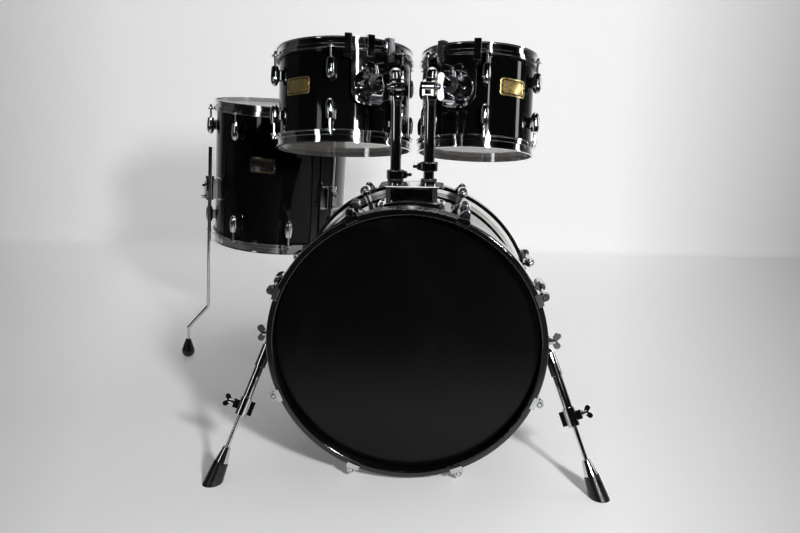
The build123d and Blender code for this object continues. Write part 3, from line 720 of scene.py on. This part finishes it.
@dataclass(frozen=True)
class Badge:
    """A curved badge plate with a raised line, cut corners and two pins, left without lettering."""

    drum: DrumPlace
    turn: float
    height: float
    width: float = 0.070
    tall: float = 0.038
    corner: float = 0.004
    border: float = 0.0035
    line: float = 0.0009
    thickness: float = 0.0008
    seat: float = 0.0001
    segments: int = 288
    edge_share: float = 0.25
    rise_divisor: int = 3
    pin_radius: float = 0.0019
    pin_inset: float = 0.0055
    pin_segments: int = 32
    dome_share: float = 0.45
    dome_steps: int = 5

    def build(self, field_finish: bpy.types.Material, line_finish: bpy.types.Material) -> None:
        """Model the badge and its pins.

        Args:
            field_finish: finish of the plate.
            line_finish: finish of the raised line and the pins.
        """
        plate = self._cut_plate()
        plate.data.materials.append(field_finish)
        plate.data.materials.append(line_finish)
        self._raise_line(plate)
        plate.matrix_world = self.drum.frame_at(self.turn, self.height)
        wall = plate.modifiers.new("wall", "SOLIDIFY")
        wall.thickness = self.thickness
        wall.offset = 1.0
        softened = plate.modifiers.new("softened", "BEVEL")
        softened.width = self.thickness * self.edge_share
        softened.segments = 2
        settle(plate, f"{self.drum.name}_badge", self.drum.name)
        for side, word in ((-1, "left"), (1, "right")):
            self._pin(side, word, line_finish)

    def _radius(self) -> float:
        """Return the radius of the plate's back, just off the shell.

        Returns:
            The radius, in metres.
        """
        return self.drum.radius + self.seat

    def _cut_plate(self) -> bpy.types.Object:
        """Cut the plate's outline and the edges of its line from a cylinder's wall.

        Returns:
            The curved sheet, centred on local -Y.
        """
        deselect_all()
        bpy.ops.mesh.primitive_cylinder_add(
            vertices=self.segments, radius=self._radius(), depth=self.tall, end_fill_type="NOTHING")
        plate = bpy.context.active_object
        bpy.ops.object.mode_set(mode="EDIT")
        for inset in (0.0, self.border, self.border + self.line):
            for place, normal in self._outline(inset):
                bpy.ops.mesh.select_all(action="SELECT")
                bpy.ops.mesh.bisect(plane_co=place, plane_no=normal, clear_outer=inset == 0.0)
        bpy.ops.object.mode_set(mode="OBJECT")
        middle = min(plate.data.polygons, key=lambda face: abs(face.center.x) + abs(face.center.z))
        if middle.normal.y > 0:
            plate.data.flip_normals()
        return plate

    def _outline(self, inset: float) -> list[tuple[Point, Point]]:
        """List the planes round an outline inside the plate's edge.

        Args:
            inset: distance of the outline from the edge, in metres.

        Returns:
            A point and an outward normal for each plane.
        """
        half = (self.width / 2 - inset) / self._radius()
        rise = self.tall / 2 - inset
        planes = [((0.0, 0.0, 0.0), (side * math.cos(half), math.sin(half), 0.0)) for side in (-1.0, 1.0)]
        planes += [((0.0, 0.0, side * rise), (0.0, 0.0, side)) for side in (-1.0, 1.0)]
        reach = self._radius() * math.sin(half) - self.corner
        for side in (-1.0, 1.0):
            for end in (-1.0, 1.0):
                planes.append(((side * reach, -self._radius(), end * rise), (side, 0.0, end)))
        return planes

    def _raise_line(self, plate: bpy.types.Object) -> None:
        """Raise the thin line inside the plate's border.

        Args:
            plate: the curved sheet.
        """
        edge, inside = self._outline(self.border), self._outline(self.border + self.line)
        for face in plate.data.polygons:
            in_line = self._within(face.center, edge) and not self._within(face.center, inside)
            face.select = in_line
            face.material_index = int(in_line)
        bpy.ops.object.mode_set(mode="EDIT")
        bpy.ops.mesh.select_mode(type="FACE")
        bpy.ops.mesh.extrude_region_shrink_fatten(
            TRANSFORM_OT_shrink_fatten={"value": self.thickness / self.rise_divisor})
        bpy.ops.object.mode_set(mode="OBJECT")

    @staticmethod
    def _within(spot: Vector, planes: list[tuple[Point, Point]]) -> bool:
        """Say whether a spot is inside every plane.

        Args:
            spot: the place to test.
            planes: a point and an outward normal for each plane.

        Returns:
            True inside them all.
        """
        return all((spot - Vector(place)).dot(Vector(normal)) < 0 for place, normal in planes)

    def _pin(self, side: int, word: str, finish: bpy.types.Material) -> None:
        """Model one domed pin head.

        Args:
            side: -1 for the left pin, 1 for the right one.
            word: the side's word for the name.
            finish: its finish.
        """
        deselect_all()
        bpy.ops.mesh.primitive_cylinder_add(
            vertices=self.pin_segments, radius=self.pin_radius, depth=self.pin_radius)
        pin = bpy.context.active_object
        pin.data.materials.append(finish)
        dome = pin.modifiers.new("dome", "BEVEL")
        dome.width = self.pin_radius * self.dome_share
        dome.segments = self.dome_steps
        swing = side * math.degrees((self.width / 2 - self.pin_inset) / self._radius())
        face = Matrix.Translation((0.0, -self._radius() - self.thickness, 0.0))
        outward = Matrix.Rotation(math.radians(90.0), 4, "X")
        pin.matrix_world = self.drum.frame_at(self.turn + swing, self.height) @ face @ outward
        settle(pin, f"{self.drum.name}_badge_pin_{word}", self.drum.name)



class HeadKind(Enum):
    """The kinds of drum head, by the end of their solids' names."""

    BLACK = "front_head"
    COATED = "batter_head"
    CLEAR = "resonant_head"


class Kit:
    """The whole kit: its drums' places, its finishes and its fine pieces."""

    def __init__(self) -> None:
        """Measure the drums and make the finishes."""
        self.effects = Effects()
        self.left_tom = DrumPlace.measure("left_tom", "batter_head")
        self.right_tom = DrumPlace.measure("right_tom", "batter_head")
        self.floor_tom = DrumPlace.measure("floor_tom", "batter_head")
        self.bass = DrumPlace.measure("bass", "front_head")
        self.chrome = Chrome().make(self.effects)
        self.hoops = HoopLacquer().make(self.effects)
        self.rubber = Moulded(
            "foot_rubber", clean=(0.003, 0.003, 0.003, 1.0), worn=(0.01, 0.01, 0.01, 1.0),
            smooth=0.26, dull=0.42, tooth=0.25,
        ).make(self.effects)
        self.nylon = Moulded(
            "black_nylon", clean=(0.015, 0.015, 0.016, 1.0), worn=(0.03, 0.03, 0.03, 1.0),
            smooth=0.3, dull=0.45, tooth=0.2,
        ).make(self.effects)
        films = {
            HeadKind.BLACK: Film(
                "black_film", clean=(0.0015, 0.0015, 0.0015, 1.0), worn=(0.003, 0.003, 0.003, 1.0),
                smooth=0.18, dull=0.26, gloss=0.22),
            HeadKind.COATED: Film(
                "coated_film", clean=(0.8, 0.79, 0.76, 1.0), worn=(0.66, 0.65, 0.62, 1.0),
                smooth=0.5, dull=0.65, tooth=0.5),
            HeadKind.CLEAR: Film(
                "clear_film", clean=(0.62, 0.6, 0.56, 1.0), worn=(0.5, 0.48, 0.45, 1.0),
                smooth=0.06, dull=0.16, alpha=0.16, tooth=0.03),
        }
        self.films = {kind: film.make(self.effects) for kind, film in films.items()}

    def dress(self) -> None:
        """Give every solid its finish."""
        shells = {
            f"{drum.name}_shell": ShellLacquer(drum).make(self.effects)
            for drum in (self.left_tom, self.right_tom, self.floor_tom, self.bass)
        }
        for name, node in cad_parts.items():
            node.data.materials.clear()
            node.data.materials.append(shells.get(name) or self._finish_of(name))

    def _finish_of(self, name: str) -> bpy.types.Material:
        """Choose the finish of a solid other than a shell.

        Args:
            name: its node's name.

        Returns:
            Its material.
        """
        if name == "bass_hoops":
            return self.hoops
        for kind, film in self.films.items():
            if name.endswith(kind.value):
                return film
        if name.endswith("spur_foot") or "_foot_" in name:
            return self.rubber
        if name.endswith("bushing"):
            return self.nylon
        return self.chrome

    def add_badges(self) -> None:
        """Add the three badges."""
        gold = BadgeMetal(
            "badge_gold", clean=(0.78, 0.6, 0.24, 1.0), worn=(0.6, 0.43, 0.16, 1.0), metallic=0.9,
        ).make(self.effects)
        brown = BadgeMetal(
            "badge_brown", clean=(0.014, 0.009, 0.006, 1.0), worn=(0.024, 0.016, 0.01, 1.0), metallic=0.2,
        ).make(self.effects)
        dim_gold = BadgeMetal(
            "badge_old_gold", clean=(0.16, 0.11, 0.045, 1.0), worn=(0.09, 0.06, 0.025, 1.0), metallic=0.6,
        ).make(self.effects)
        Badge(self.left_tom, turn=-36.0, height=0.012, line=0.0015).build(gold, brown)
        Badge(self.right_tom, turn=35.6, height=0.0225, line=0.0015).build(gold, brown)
        Badge(self.floor_tom, turn=-4.5, height=0.04, tall=0.041).build(brown, dim_gold)


# ---------------------------------------------------------------- studio


@dataclass(frozen=True)
class SoftBox:
    """One rectangular studio lamp."""

    name: str
    place: Point
    target: Point
    width: float
    height: float
    power: float

    def build(self) -> None:
        """Hang the lamp and point it at its target."""
        lamp = bpy.data.lights.new(self.name, "AREA")
        lamp.shape = "RECTANGLE"
        lamp.size = self.width
        lamp.size_y = self.height
        lamp.energy = self.power
        holder = bpy.data.objects.new(self.name, lamp)
        holder.location = self.place
        aim = Vector(self.target) - Vector(self.place)
        holder.rotation_euler = aim.to_track_quat("-Z", "Y").to_euler()
        bpy.context.scene.collection.objects.link(holder)


@dataclass(frozen=True)
class Studio:
    """A pale floor that sweeps up into a pale wall, with painted shade and a painted glow on it, a room
    round it and five soft boxes.
    """

    half_width: float = 6.0
    wall_place: float = 1.61
    front_reach: float = 6.0
    wall_height: float = 5.0
    cove: float = 0.05
    pale_paper: Colour = (0.8, 0.8, 0.8, 1.0)
    # Painted shade: towards the sides the sweep's colour darkens to this, round a painted pool of light.
    painted_side_shade: Colour = (0.3, 0.3, 0.305, 1.0)
    # Painted shade: the floor in front is darkened to this, so that metal mirrors it dark.
    painted_front_shade: Colour = (0.03, 0.03, 0.031, 1.0)
    # These set where the painted side shade starts and ends; left_share makes it weaker on the left.
    fade_reach: float = 2.4
    fade_start: float = 0.2
    fade_end: float = 0.54
    left_share: float = -0.6
    # Between these the floor in front turns to painted shade.
    front_start: float = -0.7
    front_end: float = -1.15
    # Painted light: the sweep glows towards the wall, up to this strength.
    painted_wall_glow: float = 0.36
    # Painted light: the dark floor in front glows pale to the camera alone.
    painted_front_glow: float = 0.6
    pale_room: Colour = (0.62, 0.62, 0.625, 1.0)
    room: Colour = (0.012, 0.0125, 0.0135, 1.0)
    far_room: Colour = (0.3, 0.302, 0.306, 1.0)
    room_start: float = -0.35
    room_end: float = 0.45
    cove_steps: int = 8
    paper_roughness: float = 0.75
    boxes: tuple[SoftBox, ...] = (
        SoftBox("key_box", (1.12, -2.33, 1.44), (-0.1, 0.1, 0.5), 0.24, 0.3, 66.0),
        SoftBox("key_strip", (1.09, -2.35, 2.0), (-0.1, 0.1, 0.6), 0.14, 0.8, 2.5),
        SoftBox("left_box", (-1.55, -1.8, 0.98), (-0.1, 0.1, 0.6), 0.3, 0.95, 2.0),
        SoftBox("right_strip", (2.2, 0.05, 1.15), (0.1, 0.05, 0.75), 0.3, 0.9, 4.0),
        SoftBox("top_box", (0.2, 0.5, 2.7), (0.1, 0.6, 0.0), 2.4, 1.6, 15.0),
    )

    def build(self) -> None:
        """Build the floor, the wall, the lamps and the world."""
        self._sweep()
        self._world()
        for box in self.boxes:
            box.build()

    def _sweep(self) -> None:
        """Model floor and wall as one sheet with a rounded corner."""
        deselect_all()
        bpy.ops.mesh.primitive_plane_add(size=2.0)
        sheet = bpy.context.active_object
        depth = (self.wall_place + self.front_reach) / 2
        sheet.scale = (self.half_width, depth, 1.0)
        sheet.location = (0.0, self.wall_place - depth, 0.0)
        bpy.ops.object.transform_apply(location=True, rotation=True, scale=True)
        for edge in sheet.data.edges:
            edge.select = all(
                sheet.data.vertices[end].co.y > self.wall_place - self.cove for end in edge.vertices)
        bpy.ops.object.mode_set(mode="EDIT")
        bpy.ops.mesh.select_mode(type="EDGE")
        bpy.ops.mesh.extrude_region_move(
            TRANSFORM_OT_translate={"value": (0.0, 0.0, self.wall_height)})
        bpy.ops.mesh.select_all(action="SELECT")
        bpy.ops.mesh.normals_make_consistent(inside=False)
        bpy.ops.object.mode_set(mode="OBJECT")
        if sheet.data.polygons[0].normal.z < 0:
            sheet.data.flip_normals()
        corner = sheet.modifiers.new("cove", "BEVEL")
        corner.width = self.cove
        corner.segments = self.cove_steps
        apply_modifiers(sheet)
        bpy.ops.object.shade_smooth()
        sheet.name = "studio_sweep"
        sheet.data.materials.append(self._paper())

    def _paper(self) -> bpy.types.Material:
        """Make the sweep's paint with painted light and shade: painted shade dims it to the sides, a
        painted glow lights it towards the wall, and painted shade darkens the floor in front so that it
        mirrors dark, though it glows pale to the camera.

        Returns:
            The material.
        """
        board = SurfaceBoard("studio_paper")
        board.constants(Roughness=self.paper_roughness, Emission_Color=(1.0, 1.0, 1.0, 1.0))
        place = board.add("ShaderNodeSeparateXYZ")
        board.link(board.object_place(), place.inputs["Vector"])
        # Painted shade: the paper darkens towards the sides, which leaves a painted pool of light in the
        # middle.
        aside = board.math("MULTIPLY", place.outputs["X"], self.left_share)
        aside = board.math("MAXIMUM", place.outputs["X"], aside)
        aside = board.math("DIVIDE", aside, board.math("ADD", place.outputs["Y"], self.fade_reach))
        side_shade_mask = board.spread(aside, self.fade_start, self.fade_end, 0.0, 1.0)
        # Painted shade on the floor in front, so that metal mirrors it dark.
        front = board.spread(place.outputs["Y"], self.front_start, self.front_end, 0.0, 1.0)
        pool = board.mix_colours(side_shade_mask, self.pale_paper, self.painted_side_shade)
        board.link(board.mix_colours(front, pool, self.painted_front_shade), board.shader.inputs["Base Color"])
        # Painted light: a glow that grows towards the wall and fades with the painted side shade, seen by
        # camera, glossy and transmission rays.
        toward_wall = board.spread(place.outputs["Y"], self.front_end, self.wall_place, 0.0, self.painted_wall_glow)
        toward_wall = board.math("MULTIPLY", toward_wall, board.math("SUBTRACT", side_shade_mask, 1.0))
        toward_wall = board.math("MULTIPLY", toward_wall, -1.0)
        rays = board.add("ShaderNodeLightPath")
        seen = board.math("MAXIMUM", rays.outputs["Is Camera Ray"], rays.outputs["Is Glossy Ray"])
        seen = board.math("MAXIMUM", seen, rays.outputs["Is Transmission Ray"])
        glow = board.math("MULTIPLY", toward_wall, seen)
        # Painted light: the dark floor in front glows pale to the camera alone.
        pale_front = board.math("MULTIPLY", front, rays.outputs["Is Camera Ray"])
        pale_front = board.math("MULTIPLY", pale_front, self.painted_front_glow)
        board.link(board.math("ADD", glow, pale_front), board.shader.inputs["Emission Strength"])
        self._open_from_behind(board)
        return board.material

    @staticmethod
    def _open_from_behind(board: SurfaceBoard) -> None:
        """Let a camera behind the wall look through it.

        Args:
            board: the sweep's board.
        """
        side = board.add("ShaderNodeNewGeometry")
        clear = board.add("ShaderNodeBsdfTransparent")
        choice = board.add("ShaderNodeMixShader")
        board.link(side.outputs["Backfacing"], choice.inputs["Fac"])
        board.link(board.shader.outputs["BSDF"], choice.inputs[1])
        board.link(clear.outputs["BSDF"], choice.inputs[2])
        board.link(choice.outputs["Shader"], board.output.inputs["Surface"])

    def _world(self) -> None:
        """Set the room round the sweep: pale to the camera, dark in front to what mirrors it."""
        world = bpy.data.worlds.new("studio_room")
        world.use_nodes = True
        board = Board(world.node_tree)
        toward = board.add("ShaderNodeSeparateXYZ")
        board.link(board.add("ShaderNodeTexCoord").outputs["Generated"], toward.inputs["Vector"])
        behind = board.spread(toward.outputs["Y"], self.room_start, self.room_end, 0.0, 1.0)
        lighting = board.mix_colours(behind, self.room, self.far_room)
        seen = board.add("ShaderNodeLightPath").outputs["Is Camera Ray"]
        board.link(board.mix_colours(seen, lighting, self.pale_room),
                   world.node_tree.nodes["Background"].inputs["Color"])
        bpy.context.scene.world = world


@dataclass(frozen=True)
class Viewpoint:
    place: Point = (0.0654, -1.8011, 0.8049)
    pitch: float = 14.6
    yaw: float = -3.18
    roll: float = -0.53
    lens: float = 35.25
    sensor: float = 36.0

    def build(self) -> None:
        """Add the camera and make it the scene's."""
        camera = bpy.data.cameras.new("front_camera")
        camera.lens = self.lens
        camera.sensor_width = self.sensor
        holder = bpy.data.objects.new("front_camera", camera)
        turn = Matrix.Rotation(math.radians(-self.yaw), 4, "Z")
        nod = Matrix.Rotation(math.radians(90.0 - self.pitch), 4, "X")
        lean = Matrix.Rotation(math.radians(-self.roll), 4, "Z")
        holder.matrix_world = Matrix.Translation(self.place) @ turn @ nod @ lean
        bpy.context.scene.collection.objects.link(holder)
        bpy.context.scene.camera = holder


def main() -> None:
    logging.basicConfig(level=logging.INFO)
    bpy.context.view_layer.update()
    bpy.context.scene.view_settings.view_transform = "Standard"
    kit = Kit()
    kit.dress()
    kit.add_badges()
    Studio().build()
    Viewpoint().build()


if __name__ == "__main__":
    main()
